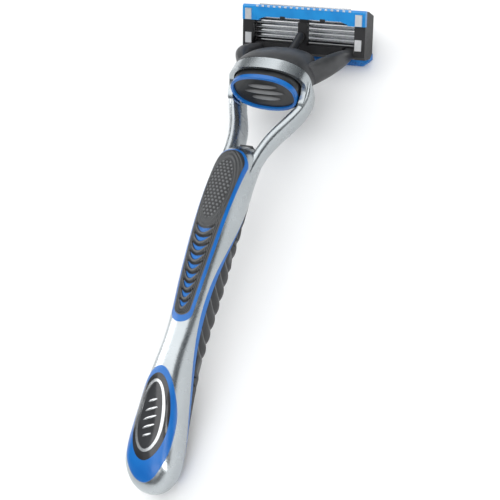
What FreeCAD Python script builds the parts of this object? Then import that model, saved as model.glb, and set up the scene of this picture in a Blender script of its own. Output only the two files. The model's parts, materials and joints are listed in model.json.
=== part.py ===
import FreeCAD, Part

import math
import os

import Sketcher
from FreeCAD import Placement, Rotation, Vector

# Cartridge razor, lying on its back: X along the blades, +Y from the tail to the head,
# +Z towards the thumb.  Each sub-part is drawn in one of three working frames, which its
# Placement carries to the row's frame:
#   handle     Y from the tail's end, Z up from the table
#   dock       Y along the docking axis, origin at the seam between neck and cartridge yoke
#   cartridge  Y across the blades towards the cap, Z out of the back, origin on the back

# Driving dimensions, in millimetres and degrees.
DIMENSIONS = {
    "tail_offset": 75.12,
    "dock_along": 120.6,
    "dock_height": 18.1,
    "dock_angle": -14.0,
    "head_along": 141.9,
    "head_height": 11.4,
    "head_angle": 40.5,
    "pocket_depth": 2.2,
    "grip_depth": 1.1,
    "handle_length": 98.0,
    "tail_round": 9.0,
    "crotch_round": 7.0,
    "pad_tip_along": 46.4,
    "pad_tip_radius": 3.1,
    "pad_top_along": 88.8,
    "pad_top_radius": 5.1,
    "pad_border": 0.6,
    "pad_tip_border": 1.2,
    "stripe_start": 6.0,
    "stripe_low": 2.2,
    "stripe_crest_along": 57.5,
    "stripe_crest": 19.3,
    "stripe_end": 98.5,
    "stripe_end_height": 13.6,
    "stripe_border": 1.4,
    "badge_low": 2.0,
    "badge_wide": 13.0,
    "badge_high": 31.0,
    "badge_half": 6.3,
    "inlay_low": 7.0,
    "inlay_wide": 16.5,
    "inlay_high": 29.0,
    "inlay_half": 5.0,
    "ring_low": 9.0,
    "ring_wide": 16.5,
    "ring_high": 27.3,
    "ring_half": 4.0,
    "ring_band": 0.75,
    "band_depth": 0.4,
    "insert_half": 1.9,
    "insert_start": 92.5,
    "insert_end": 97.8,
    "insert_low": 14.6,
    "insert_high": 18.8,
    "neck_half_width": 12.3,
    "neck_half_height": 7.7,
    "neck_wall_side": 1.5,
    "neck_wall_top": 0.8,
    "neck_wall_front": 0.8,
    "neck_length": 14.0,
    "room_length": 7.8,
    "room_taper": 4.5,
    "room_shrink": 3.2,
    "spigot_half_width": 10.0,
    "spigot_half_height": 5.6,
    "spigot_wall": 1.0,
    "spigot_root": 0.4,
    "spigot_reach": 2.6,
    "button_half_width": 10.3,
    "button_half_height": 6.4,
    "button_face": 6.85,
    "button_length": 3.65,
    "button_wall": 1.1,
    "button_floor": 2.0,
    "button_seat": 1.1,
    "button_rim": 0.75,
    "button_rim_depth": 1.3,
    "button_rim_proud": 0.2,
    "button_pad_sink": 0.15,
    "button_travel": 2.2,
    "nose_half_width": 6.0,
    "nose_low": -4.1,
    "nose_high": 1.6,
    "nose_length": 6.2,
    "prong_offset": 7.2,
    "prong_width": 1.6,
    "prong_height": 3.0,
    "prong_length": 11.1,
    "plunger_drop": 2.2,
    "plunger_radius": 1.3,
    "plunger_clearance": 0.08,
    "plunger_tip": 21.2,
    "plunger_length": 17.4,
    "spring_radius": 1.7,
    "spring_wire": 0.22,
    "spring_coils": 6.0,
    "spring_length": 7.2,
    "hood_wall": 1.1,
    "stop_half": 9.6,
    "stop_start": 6.4,
    "stop_end": 7.6,
    "stop_low": -2.2,
    "stop_high": 1.0,
    "pivot_back": -6.5,
    "pivot_depth": -2.2,
    "pin_radius": 0.9,
    "pin_clearance": 0.06,
    "pin_reach": 19.5,
    "hub_radius": 1.6,
    "hub_inner": 13.4,
    "hub_outer": 16.6,
    "cartridge_width": 40.4,
    "cartridge_low": -7.9,
    "cartridge_high": 6.1,
    "cartridge_depth": 6.0,
    "back_chamfer": 0.8,
    "front_chamfer": 1.4,
    "foot_chamfer": 1.6,
    "window_half": 16.8,
    "window_low": -4.7,
    "window_high": 3.1,
    "rib_width": 3.0,
    "rib_depth": 1.5,
    "bay_half": 18.9,
    "notch_inner": 13.1,
    "notch_outer": 16.9,
    "notch_depth": 4.0,
    "notch_high": -4.4,
    "blade_count": 5.0,
    "blade_pitch": 1.42,
    "blade_first": -3.3,
    "blade_length": 37.0,
    "support_thickness": 0.25,
    "support_height": 3.0,
    "support_top": -2.1,
    "clip_place": 18.15,
    "clip_width": 2.1,
    "clip_thickness": 0.3,
    "clip_high": 5.2,
    "clip_low": -5.2,
    "clip_front": 6.6,
    "cap_width": 4.3,
    "cap_seat": 0.9,
    "cap_lip": 0.25,
    "cap_proud": 0.25,
    "recess_foot_half": 14.6,
    "recess_top_half": 12.4,
    "recess_depth": 1.1,
    "trimmer_width": 30.0,
    "trimmer_reach": 0.5,
    "edge_reach": 1.2,
    "tab_reach": 0.95,
    "guard_front": 6.85,
    "guard_lip": 2.4,
    "guard_corner": 17.6,
    "strip_width": 34.0,
    "strip_low": 3.3,
    "strip_high": 4.5,
    "strip_proud": 0.55,
}

# The handle's three lines, each smooth through the places where its shape turns:
# distance from the tail, then the size there.
CENTRE_LINE = [(0, 4.9), (12, 7.8), (28, 11.5), (42, 13.0),
               (60, 16.0), (82, 18.8), (91, 18.6), (98, 16)]
HALF_DEPTH = [(0, 6.4), (11, 7.0), (27, 8.2), (44, 7.4), (60, 7.6), (80, 7.2), (98, 6.0)]
HALF_WIDTH = [(0, 7.7), (11, 7.4), (24, 5.8), (38, 4.7), (56, 5.4), (72, 5.8), (98, 5.2)]

# One arm of the fork, at its root, where it leaves the handle, half way, at the neck and
# inside it: distance from the tail, side offset, height, half thickness, half depth.
ARM_STATIONS = [
    (84, 2.7, 18.0, 2.2, 5.2),
    (96, 4.4, 17.0, 1.7, 3.3),
    (107, 7.6, 14.3, 2.0, 3.8),
    (115, 11.0, 13.7, 1.6, 4.0),
    (119.5, 11.3, 14.4, 1.0, 5.0),
]
ARM_LEAN = 12.0    # the arms' tops lean outwards, in degrees

# The neck's rear edge in side view, from its crown round the arm to its underside: along
# the docking axis, height.
NECK_REAR = [(-4.2, 9.0), (-3.4, 3.5), (-3.8, 0.4), (-7.5, -2.6), (-5.6, -5.6), (-4.6, -9.0)]

# Stations of a yoke arm: along the docking axis, side offset, height, half thickness, half depth.
YOKE_ARM = [(2, 9.4, -0.6, 1.9, 3.8), (6, 12.6, -1.1, 2.2, 3.6), (11, 14.7, -2.6, 2.1, 3.1),
            (16, 15.0, -5.2, 1.7, 2.4), (20.6, 14.9, -7.7, 1.6, 1.4)]

# Stations of the hood: along the docking axis, narrowing, fall of its top, rise of its bottom.
HOOD = [(0.15, 0.0, 0.0, 0.0), (3.5, 0.5, 0.9, 0.3), (7.5, 2.0, 3.2, 1.2), (10.5, 3.6, 5.6, 2.2)]

# The button's three ridges: height on its face, half length.
BUTTON_RIDGES = [(1.9, 4.0), (0.0, 6.0), (-1.9, 4.4)]
RIDGE_HALF_DEPTH = 0.55
RIDGE_HALF_HEIGHT = 0.6

BOW = 2.5          # exponent of the rounded-box curve of the handle's sections
OVAL_BOW = 2.3     # and of the neck's oval
RING_POINTS = 24   # points through which a closed section curve is drawn
SKIN_SECTIONS = 24 # sections of the handle's skin
WIDE = 60.0        # larger than any section, for cutting tools
PRONG_ROOM = 0.3   # gap round each prong of the ejector fork
NOSE_ROOM = 0.4    # gap round the docking nose inside the yoke
SLOT_ROOM = 0.1    # gap beside each retaining clip
PAD_RISE = 0.15    # the thumb pad stands above the handle's skin, in millimetres
BORDER_RISE = 0.1  # and its blue border
CAP_RISE = 0.25    # and the badge's cap
INLAY_RISE = 0.3   # and the badge's inlay
RING_RISE = 0.5    # and the badge's ring

doc = FreeCAD.newDocument("CartridgeRazor")
sheet = doc.addObject("Spreadsheet::Sheet", "Dimensions")


def fill_sheet():
    """One row per dimension: its name beside its value."""
    cells = dict(DIMENSIONS)
    for name, line in (("centre", CENTRE_LINE), ("depth", HALF_DEPTH), ("width", HALF_WIDTH)):
        for number, (along, value) in enumerate(line):
            cells[f"{name}_{number}_along"] = along
            cells[f"{name}_{number}_size"] = value
    for number, station in enumerate(ARM_STATIONS):
        for label, value in zip(("along", "side", "height", "thick", "deep"), station):
            cells[f"arm_{number}_{label}"] = value
    for row, (name, value) in enumerate(cells.items(), start=1):
        sheet.set(f"A{row}", name)
        sheet.set(f"B{row}", str(value))
        sheet.setAlias(f"B{row}", name)
    doc.recompute()


def size(name):
    """A dimension read back from the sheet."""
    return float(getattr(sheet, name))


def terms(text):
    """Split a sum such as 'a - 0.5*b' into pairs of a factor and a name or number."""
    pairs = []
    for word in text.replace("-", "+-").split("+"):
        word = word.strip()
        if not word:
            continue
        sign = -1.0 if word.startswith("-") else 1.0
        factor, _, name = word.lstrip("- ").rpartition("*")
        pairs.append((sign * float(factor or 1), name.strip()))
    return pairs


def amount(text):
    """The value of a sum of dimensions."""
    total = 0.0
    for factor, name in terms(text):
        total += factor * (size(name) if name in DIMENSIONS else float(name))
    return total


def formula(text):
    """The same sum, written as an expression that follows the sheet."""
    parts = []
    for factor, name in terms(text):
        source = f"Dimensions.{name}" if name in DIMENSIONS else name
        parts.append(f"({factor}) * {source}")
    return " + ".join(parts)


def less(high, low):
    """The sum that is one sum less another."""
    return high + "".join(f" + {-factor}*{name}" for factor, name in terms(low))


# ---------------------------------------------------------------- working frames

def handle_frame():
    """From the handle's working frame to the row's frame."""
    return Placement(Vector(0, -size("tail_offset"), 0), Rotation())


def dock_frame():
    """From the dock's working frame to the row's frame."""
    origin = Vector(0, size("dock_along"), size("dock_height"))
    turn = Rotation(Vector(1, 0, 0), size("dock_angle"))
    return handle_frame().multiply(Placement(origin, turn))


def cartridge_frame():
    """From the cartridge's working frame to the row's frame."""
    origin = Vector(0, size("head_along"), size("head_height"))
    turn = Rotation(Vector(1, 0, 0), size("head_angle"))
    return handle_frame().multiply(Placement(origin, turn))


# ---------------------------------------------------------------- drawing helpers

def closed_curve(points):
    """A smooth closed wire through the points."""
    curve = Part.BSplineCurve()
    curve.interpolate(Points=points, PeriodicFlag=True)
    return Part.Wire([curve.toShape()])


def rounded_section(along, crown, under, half, side=0.0, bow=BOW, lean=0.0):
    """A rounded-box section across Y, between two heights and two sides, leaning towards +X."""
    points = []
    middle = (crown + under) / 2
    tilt = math.radians(lean)
    for step in range(RING_POINTS):
        angle = 2 * math.pi * (step + 0.5) / RING_POINTS
        across = math.copysign(abs(math.cos(angle)) ** (2 / bow), math.cos(angle))
        upward = math.copysign(abs(math.sin(angle)) ** (2 / bow), math.sin(angle))
        out = half * across
        rise = (crown - under) / 2 * upward
        points.append(Vector(side + out * math.cos(tilt) + rise * math.sin(tilt), along,
                             middle + rise * math.cos(tilt) - out * math.sin(tilt)))
    return closed_curve(points)


def oval_solid(half_width, half_height, start, end, drop=0.0, shrink=0.0):
    """A rounded oval bar along Y; shrink narrows its far end all round."""
    near = rounded_section(start, half_height - drop, -half_height - drop, half_width, bow=OVAL_BOW)
    far = rounded_section(end, half_height - drop - shrink, -half_height - drop + shrink,
                          half_width - shrink, bow=OVAL_BOW)
    return Part.makeLoft([near, far], True, True)


def block(low, high):
    """A box between two corners."""
    return Part.makeBox(high[0] - low[0], high[1] - low[1], high[2] - low[2], Vector(*low))


def rod(radius, start, end, height=0.0, side=0.0):
    """A round bar along Y."""
    return Part.makeCylinder(radius, end - start, Vector(side, start, height), Vector(0, 1, 0))


def cross_rod(radius, start, end, along, height):
    """A round bar along X."""
    return Part.makeCylinder(radius, end - start, Vector(start, along, height), Vector(1, 0, 0))


def upright_prism(wire, low=-5.0, high=45.0):
    """A flat outline in XY made into an upright prism."""
    wire.translate(Vector(0, 0, low))
    return Part.Face(wire).extrude(Vector(0, 0, high - low))


def side_prism(wire, half=WIDE / 2):
    """A flat outline in YZ made into a prism across X."""
    wire.translate(Vector(-half, 0, 0))
    return Part.Face(wire).extrude(Vector(2 * half, 0, 0))


def side_wire(curve_points, floor):
    """An outline in YZ: a smooth upper line, closed by a straight floor below it."""
    points = [Vector(0, along, height) for along, height in curve_points]
    line = Part.BSplineCurve()
    line.interpolate(Points=points)
    first, last = points[0], points[-1]
    low_first = Vector(0, first.y, floor)
    low_last = Vector(0, last.y, floor)
    edges = [line.toShape(), Part.makeLine(last, low_last),
             Part.makeLine(low_last, low_first), Part.makeLine(low_first, first)]
    return Part.Wire(edges)


def slot_outline(low, low_radius, high, high_radius, bulge=0.3):
    """An upright outline: two round ends of different radius, joined by slightly full sides."""
    middle = (low + high) / 2
    waist = (low_radius + high_radius) / 2 + bulge
    ends = {-1: (low, low_radius), 1: (high, high_radius)}
    right = Part.Arc(Vector(ends[-1][1], ends[-1][0], 0), Vector(waist, middle, 0),
                     Vector(ends[1][1], ends[1][0], 0))
    left = Part.Arc(Vector(-ends[1][1], ends[1][0], 0), Vector(-waist, middle, 0),
                    Vector(-ends[-1][1], ends[-1][0], 0))
    top = Part.Arc(Vector(high_radius, high, 0), Vector(0, high + high_radius, 0),
                   Vector(-high_radius, high, 0))
    bottom = Part.Arc(Vector(-low_radius, low, 0), Vector(0, low - low_radius, 0),
                      Vector(low_radius, low, 0))
    return Part.Wire([right.toShape(), top.toShape(), left.toShape(), bottom.toShape()])


def egg_outline(low, widest, high, half_width):
    """An egg: two half ellipses that share their widest line."""
    edges = []
    for reach, side in ((high - widest, 1), (widest - low, -1)):
        centre = Vector(0, widest, 0)
        tip = Vector(0, widest + side * reach, 0)
        flank = Vector(side * half_width, widest, 0)
        if reach >= half_width:
            ellipse = Part.Ellipse(tip, flank, centre)
            arc = Part.Arc(ellipse, -math.pi / 2, math.pi / 2)
        else:
            ellipse = Part.Ellipse(flank, tip, centre)
            arc = Part.Arc(ellipse, 0, math.pi)
        edges.append(arc.toShape())
    return Part.Wire(Part.__sortEdges__(edges))


# ---------------------------------------------------------------- document helpers

parts = []


def keep_shape(label, shape, placement):
    """A sub-part whose shape is built by functions."""
    feature = doc.addObject("Part::Feature", label)
    feature.Label = label
    feature.Shape = shape
    feature.Placement = placement
    parts.append(feature)
    return feature


def bound(feature, **sizes):
    """Bind a feature's properties to sums of dimensions."""
    for name, text in sizes.items():
        feature.setExpression(name, formula(text))
    return feature


def new_body(label, placement):
    """An empty body that will become a sub-part."""
    body = doc.addObject("PartDesign::Body", label)
    body.Label = label
    body.Placement = placement
    parts.append(body)
    return body


def draw_polygon(body, plane, corners):
    """A closed polygon on one of the body's planes, each corner bound to the sheet."""
    sketch = body.newObject("Sketcher::SketchObject", body.Label + "_sketch")
    support = [item for item in body.Origin.OriginFeatures if item.Role == plane][0]
    sketch.AttachmentSupport = [(support, "")]
    sketch.MapMode = "FlatFace"
    spots = [Vector(amount(across), amount(up), 0) for across, up in corners]
    for number, spot in enumerate(spots):
        sketch.addGeometry(Part.LineSegment(spot, spots[(number + 1) % len(spots)]), False)
    for number in range(len(spots)):
        following = (number + 1) % len(spots)
        sketch.addConstraint(Sketcher.Constraint("Coincident", number, 2, following, 1))
    for number, (across, up) in enumerate(corners):
        for kind, text, value in (("DistanceX", across, spots[number].x),
                                  ("DistanceY", up, spots[number].y)):
            if abs(value) < 1e-9:
                continue
            index = sketch.addConstraint(Sketcher.Constraint(kind, -1, 1, number, 1, value))
            sketch.setExpression(f"Constraints[{index}]", formula(text))
    return sketch


def rectangle(low_across, high_across, low_up, high_up):
    """Corners of a rectangle for draw_polygon."""
    return [(low_across, low_up), (high_across, low_up), (high_across, high_up), (low_across, high_up)]


def add_pad(body, plane, corners, length):
    """A pad of a polygon, half to each side of its plane."""
    pad = body.newObject("PartDesign::Pad", body.Label + "_pad")
    pad.Profile = draw_polygon(body, plane, corners)
    pad.Midplane = True
    return bound(pad, Length=length)


def cut_pocket(body, plane, corners, length):
    """A pocket of a polygon, half to each side of its plane; it must remove material."""
    doc.recompute()
    before = body.Shape.Volume
    pocket = body.newObject("PartDesign::Pocket", body.Label + "_pocket")
    pocket.Profile = draw_polygon(body, plane, corners)
    pocket.Midplane = True
    bound(pocket, Length=length)
    doc.recompute()
    if body.Shape.Volume > before - 1e-6:
        raise RuntimeError(f"pocket removed nothing: {body.Label}")
    return pocket


# ---------------------------------------------------------------- handle

def along_line(name, count, along):
    """The size read from one of the handle's lines, by cubic pieces with matched slopes."""
    places = [size(f"{name}_{number}_along") for number in range(count)]
    sizes = [size(f"{name}_{number}_size") for number in range(count)]
    steps = [(sizes[n + 1] - sizes[n]) / (places[n + 1] - places[n]) for n in range(count - 1)]
    slopes = [steps[0]] + [(steps[n] + steps[n + 1]) / 2 for n in range(count - 2)] + [steps[-1]]
    piece = max(n for n in range(count - 1) if places[n] <= along or n == 0)
    span = places[piece + 1] - places[piece]
    part_way = (along - places[piece]) / span
    rest = 1 - part_way
    start = sizes[piece] * (1 + 2 * part_way) * rest ** 2
    finish = sizes[piece + 1] * (1 + 2 * rest) * part_way ** 2
    return start + finish + span * part_way * rest * (slopes[piece] * rest - slopes[piece + 1] * part_way)


def roundness(along):
    """How full the handle's section is: it closes in a quarter ellipse at each end."""
    to_tail = min(along / size("tail_round"), 1.0)
    to_crotch = min((size("handle_length") - along) / size("crotch_round"), 1.0)
    return math.sqrt(1 - (1 - to_tail) ** 2) * math.sqrt(1 - (1 - to_crotch) ** 2)


def section_places():
    """Distances from the tail of the skin's sections, closer together at both round ends."""
    length = size("handle_length")
    count = SKIN_SECTIONS
    return [length * (1 - math.cos(math.pi * (n + 0.5) / count)) / 2 for n in range(count)]


def skin(grow=0.0):
    """The handle's outer skin, grown or shrunk all round."""
    wires = []
    for along in section_places():
        fullness = roundness(along)
        middle = along_line("centre", len(CENTRE_LINE), along)
        deep = along_line("depth", len(HALF_DEPTH), along) * fullness + grow
        half = along_line("width", len(HALF_WIDTH), along) * fullness + grow
        if min(deep, half) > 0.4:
            wires.append(rounded_section(along, middle + deep, middle - deep, half))
    return Part.makeLoft(wires, True)


def lowered(shape, drop):
    """A copy of a shape, moved straight down: the floor of a pocket of even depth."""
    copy = shape.copy()
    copy.translate(Vector(0, 0, -drop))
    return copy


def arm(side):
    """One arm of the fork, from inside the handle to the side of the neck ring."""
    wires = []
    for number in range(len(ARM_STATIONS)):
        offset, height, thick, deep = (size(f"arm_{number}_{name}")
                                       for name in ("side", "height", "thick", "deep"))
        along = size(f"arm_{number}_along")
        wires.append(rounded_section(along, height + deep, height - deep, thick, side * offset,
                                     lean=side * ARM_LEAN))
    return Part.makeLoft(wires, True)


def neck_ring():
    """The oval neck: a sleeve cut back in a curve, with a spigot that the yoke slips over."""
    width = size("neck_half_width")
    height = size("neck_half_height")
    bore_width = width - size("neck_wall_side")
    bore_height = height - size("neck_wall_top")
    length = size("neck_length")
    outside = oval_solid(width, height, -length, 0.0)
    bore = oval_solid(bore_width, bore_height, -length - 1, -size("neck_wall_front"))
    edge = Part.BSplineCurve()
    edge.interpolate(Points=[Vector(0, along, height) for along, height in NECK_REAR])
    top = Vector(0, NECK_REAR[0][0], NECK_REAR[0][1])
    foot = Vector(0, NECK_REAR[-1][0], NECK_REAR[-1][1])
    back_foot = Vector(0, -WIDE / 2, foot.z)
    back_top = Vector(0, -WIDE / 2, top.z)
    rear = Part.Wire([edge.toShape(), Part.makeLine(foot, back_foot),
                      Part.makeLine(back_foot, back_top), Part.makeLine(back_top, top)])
    sleeve = outside.cut(side_prism(rear)).cut(bore)
    inner_width = size("spigot_half_width") - size("spigot_wall")
    inner_height = size("spigot_half_height") - size("spigot_wall")
    spigot = oval_solid(size("spigot_half_width"), size("spigot_half_height"),
                        -size("spigot_root"), size("spigot_reach"))
    mouth = oval_solid(inner_width, inner_height, -2 * size("neck_wall_front"), size("spigot_reach") + 1)
    return sleeve.fuse(spigot).cut(mouth)


def thumb_outline():
    """Outline of the thumb grip's blue border, seen from above."""
    return slot_outline(size("pad_tip_along"), size("pad_tip_radius"),
                        size("pad_top_along"), size("pad_top_radius"))


def pad_outline():
    """Outline of the dark pad inside that border, which is widest at the tip."""
    border = size("pad_border")
    return slot_outline(size("pad_tip_along") + size("pad_tip_border"), size("pad_tip_radius") - border,
                        size("pad_top_along"), size("pad_top_radius") - border)


def badge_egg(name, inset=0.0):
    """One of the badge's egg outlines seen from above, drawn in by an inset."""
    return egg_outline(size(name + "_low") + inset, size(name + "_wide"),
                       size(name + "_high") - inset, size(name + "_half") - inset)


def stripe_wire(border=0.0):
    """Side view of the rear stripe's front edge: up from the tail, over a crest, to the crotch."""
    start, low = size("stripe_start"), size("stripe_low")
    crest_along, crest = size("stripe_crest_along"), size("stripe_crest")
    end, end_height = size("stripe_end"), size("stripe_end_height")
    rise = (crest_along - start) / 2
    fall = (end - crest_along) / 2
    points = [(start, low), (start + rise, low + 0.6 * (crest - low)), (crest_along, crest),
              (crest_along + fall, end_height + 0.34 * (crest - end_height)), (end, end_height)]
    borders = [border, border, border, 0.0, 0.0]
    return side_wire([(along, height - lower) for (along, height), lower in zip(points, borders)], -3.0)


def build_handle():
    """The plated casting and what is set into it."""
    frame = handle_frame()
    depth = size("pocket_depth")
    core = skin(-depth)
    shell = skin()
    pocket_floor = lowered(shell, depth)
    thumb_tool = upright_prism(thumb_outline(), low=16.0).cut(pocket_floor)
    thumb_tool = thumb_tool.cut(side_prism(stripe_wire()))
    badge_tool = upright_prism(badge_egg("badge"), low=7.0).cut(pocket_floor)
    rear_tool = side_prism(stripe_wire()).cut(core)
    to_handle = Placement(Vector(0, size("dock_along"), size("dock_height")),
                          Rotation(Vector(1, 0, 0), size("dock_angle")))
    ring = neck_ring()
    ring.Placement = to_handle
    arms = arm(1).fuse(arm(-1))
    room_width = size("neck_half_width") - size("neck_wall_side")
    room_height = size("neck_half_height") - size("neck_wall_top")
    room = oval_solid(room_width, room_height, -size("room_length"), 0.0)
    room = room.fuse(oval_solid(room_width, room_height, -size("room_length"),
                                -size("room_length") - size("room_taper"), shrink=size("room_shrink")))
    room.Placement = to_handle
    casting = shell.fuse(arms.cut(room)).fuse(ring)
    insert_half = size("insert_half")
    insert_low = (-insert_half, size("insert_start"), size("insert_low"))
    insert_room = block(insert_low, (insert_half, size("insert_end") + 1.2, size("insert_high")))
    casting = casting.cut(thumb_tool).cut(badge_tool).cut(rear_tool).cut(insert_room)
    keep_shape("handle_frame", casting, frame)

    grip = size("grip_depth")
    bed = skin(-grip)
    pad_floor = lowered(shell, grip)
    inner_thumb = upright_prism(pad_outline(), low=17.0).cut(pad_floor)
    keep_shape("thumb_grip_carrier", skin(BORDER_RISE).common(thumb_tool).cut(inner_thumb), frame)
    keep_shape("thumb_grip", skin(PAD_RISE).common(inner_thumb), frame)

    grip_tool = side_prism(stripe_wire(size("stripe_border"))).cut(bed)
    keep_shape("rear_grip_carrier", shell.common(rear_tool).cut(grip_tool), frame)
    keep_shape("rear_grip", shell.common(grip_tool).common(rear_tool), frame)

    inlay_tool = upright_prism(badge_egg("inlay"), low=8.0).cut(pad_floor)
    keep_shape("badge_cap", skin(CAP_RISE).common(badge_tool).cut(inlay_tool), frame)
    band_tool = upright_prism(badge_egg("ring"), low=9.0)
    band_tool = band_tool.cut(upright_prism(badge_egg("ring", size("ring_band")), low=9.0))
    band_tool = band_tool.cut(lowered(shell, size("band_depth")))
    keep_shape("badge_inlay", skin(INLAY_RISE).common(inlay_tool).cut(band_tool), frame)
    keep_shape("badge_ring", skin(RING_RISE).common(band_tool), frame)
    insert = block(insert_low, (insert_half, size("insert_end"), size("insert_high")))
    keep_shape("fork_insert", insert, frame)


# ---------------------------------------------------------------- dock and button

def build_dock():
    """The plastic insert in the neck, with the nose that the yoke plugs on to."""
    reach = size("spigot_reach")
    drop = size("plunger_drop")
    radius = size("plunger_radius")
    plate = oval_solid(size("spigot_half_width") - size("spigot_wall"),
                       size("spigot_half_height") - size("spigot_wall"), 0.0, reach)
    nose = block((-size("nose_half_width"), reach, size("nose_low")),
                 (size("nose_half_width"), reach + size("nose_length"), size("nose_high")))
    bore = rod(radius + size("plunger_clearance"), -1.0, 20.0, -drop)
    spring_room = rod(size("spring_radius") + 2 * size("spring_wire"), -1.0, reach + 1.4, -drop)
    insert = plate.fuse(nose).cut(bore).cut(spring_room)
    half = size("prong_width") / 2 + PRONG_ROOM
    tall = size("prong_height") / 2 + PRONG_ROOM
    for side in (-1, 1):
        offset = side * size("prong_offset")
        insert = insert.cut(block((offset - half, -1.0, -tall), (offset + half, 20.0, tall)))
    keep_shape("docking_insert", insert, dock_frame())


def build_button():
    """The push button: drum, blue rim, soft ridged face, and the fork that pushes the yoke off."""
    frame = dock_frame()
    width = size("button_half_width")
    height = size("button_half_height")
    face = -size("button_face")
    front = face + size("button_length")
    wall = size("button_wall")
    lip = size("button_rim")
    floor = face + size("button_floor")
    bed = face + size("button_seat")
    seat = oval_solid(width - lip, height - lip, face - 1, bed)
    rim = oval_solid(width, height, face, face + size("button_rim_depth"))
    rim = rim.cut(oval_solid(width - lip, height - lip, face - 1, floor))
    drum = oval_solid(width, height, face + size("button_rim_proud"), front).cut(seat).cut(rim)
    drum = drum.cut(oval_solid(width - wall, height - wall, floor, front + 1))
    keep_shape("button_drum", drum, frame)
    keep_shape("button_rim", rim, frame)

    pad = oval_solid(width - lip, height - lip, face + size("button_pad_sink"), bed)
    root = face + size("button_rim_proud")
    above_bed = block((-width, face - 1, -height), (width, bed - size("button_rim_proud"), height))
    for rise, half in BUTTON_RIDGES:
        stretch = FreeCAD.Matrix()
        stretch.scale(half, RIDGE_HALF_DEPTH, RIDGE_HALF_HEIGHT)
        ridge = Part.makeSphere(1.0).transformGeometry(stretch)
        ridge.translate(Vector(0, root, rise))
        pad = pad.fuse(ridge.common(above_bed))
    keep_shape("button_pad", pad, frame)

    tall = size("prong_height") / 2
    offset = size("prong_offset")
    half = size("prong_width") / 2
    fork = block((-offset - half, floor, -tall), (offset + half, floor + 1.0, tall))
    for side in (-1, 1):
        fork = fork.fuse(block((side * offset - half, floor, -tall),
                               (side * offset + half, floor + size("prong_length"), tall)))
    keep_shape("ejector_fork", fork, frame)


def build_plunger():
    """The sprung rod that turns the cartridge back to rest."""
    drop = size("plunger_drop")
    tip = size("plunger_tip")
    radius = size("plunger_radius")
    shaft = rod(radius, tip - size("plunger_length"), tip - radius, -drop)
    nose = Part.makeSphere(radius, Vector(0, tip - radius, -drop))
    keep_shape("plunger", shaft.fuse(nose), dock_frame())


def build_spring():
    """The coil spring between the fork's bridge and the plunger."""
    coil = bound(doc.addObject("Part::Helix", "spring_path"), Radius="spring_radius",
                 Height="spring_length")
    coil.setExpression("Pitch", "Dimensions.spring_length / Dimensions.spring_coils")
    wire = bound(doc.addObject("Part::Circle", "spring_section"), Radius="spring_wire")
    wire.Placement = Placement(Vector(size("spring_radius"), 0, 0), Rotation(Vector(1, 0, 0), 90))
    doc.recompute()
    sweep = doc.addObject("Part::Sweep", "plunger_spring")
    sweep.Label = "plunger_spring"
    sweep.Sections = [wire]
    sweep.Spine = coil
    sweep.Solid = True
    sweep.Frenet = True
    seat = size("plunger_tip") - size("plunger_length") - size("spring_wire") - 0.05
    lying = Placement(Vector(0, seat, -size("plunger_drop")), Rotation(Vector(1, 0, 0), 90))
    sweep.Placement = dock_frame().multiply(lying)
    parts.append(sweep)


# ---------------------------------------------------------------- yoke

def hood(wall, overrun):
    """The hood's outside, or with a wall its inside, run out a little past both ends."""
    wires = []
    for number, (along, narrow, fall, rise) in enumerate(HOOD):
        shift = overrun * (-1 if number == 0 else 1 if number == len(HOOD) - 1 else 0)
        wires.append(rounded_section(along + shift, size("neck_half_height") - fall - wall,
                                     rise + wall - size("neck_half_height"),
                                     size("neck_half_width") - narrow - wall, bow=OVAL_BOW))
    return Part.makeLoft(wires, True)


def pivot_in_dock():
    """The pivot axis's place in the dock's working frame."""
    spot = cartridge_frame().multVec(Vector(0, size("pivot_back"), size("pivot_depth")))
    return dock_frame().inverse().multVec(spot)


def build_yoke():
    """The connecting yoke: hood, arms, pivot hubs and pins."""
    outside = hood(0.0, 0.0)
    inside = hood(size("hood_wall"), 0.1)
    shell = outside
    for side in (-1, 1):
        wires = [rounded_section(along, height + deep, height - deep, thick, side * offset)
                 for along, offset, height, thick, deep in YOKE_ARM]
        shell = shell.fuse(Part.makeLoft(wires, True))
    stop_low = (-size("stop_half"), size("stop_start"), size("stop_low"))
    stop_high = (size("stop_half"), size("stop_end"), size("stop_high"))
    stops = block(stop_low, stop_high).common(outside)
    nose_room = block((-size("nose_half_width") - NOSE_ROOM, 0.0, size("nose_low") - 1.0),
                      (size("nose_half_width") + NOSE_ROOM, 20.0, size("nose_high") + NOSE_ROOM))
    shell = shell.cut(inside).fuse(stops.cut(nose_room))
    pivot = pivot_in_dock()
    for side in (-1, 1):
        hub_low, hub_high = sorted((side * size("hub_inner"), side * size("hub_outer")))
        pin_low, pin_high = sorted((side * size("hub_inner"), side * size("pin_reach")))
        shell = shell.fuse(cross_rod(size("hub_radius"), hub_low, hub_high, pivot.y, pivot.z))
        shell = shell.fuse(cross_rod(size("pin_radius"), pin_low, pin_high, pivot.y, pivot.z))
    keep_shape("yoke", shell, dock_frame())


# ---------------------------------------------------------------- cartridge

def box_tool(label, low, high):
    """A Part box between two corners given as sums of dimensions."""
    tool = doc.addObject("Part::Box", label)
    bound(tool, Length=less(high[0], low[0]), Width=less(high[1], low[1]),
          Height=less(high[2], low[2]))
    for axis, text in zip("xyz", low):
        tool.setExpression(f"Placement.Base.{axis}", formula(text))
    return tool


def cross_cylinder(label, radius, start, length, along, height):
    """A Part cylinder along X, placed by sums of dimensions."""
    tool = bound(doc.addObject("Part::Cylinder", label), Radius=radius, Height=length)
    tool.Placement = Placement(Vector(), Rotation(Vector(0, 1, 0), 90))
    for axis, text in zip("xyz", (start, along, height)):
        tool.setExpression(f"Placement.Base.{axis}", formula(text))
    return tool


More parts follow.
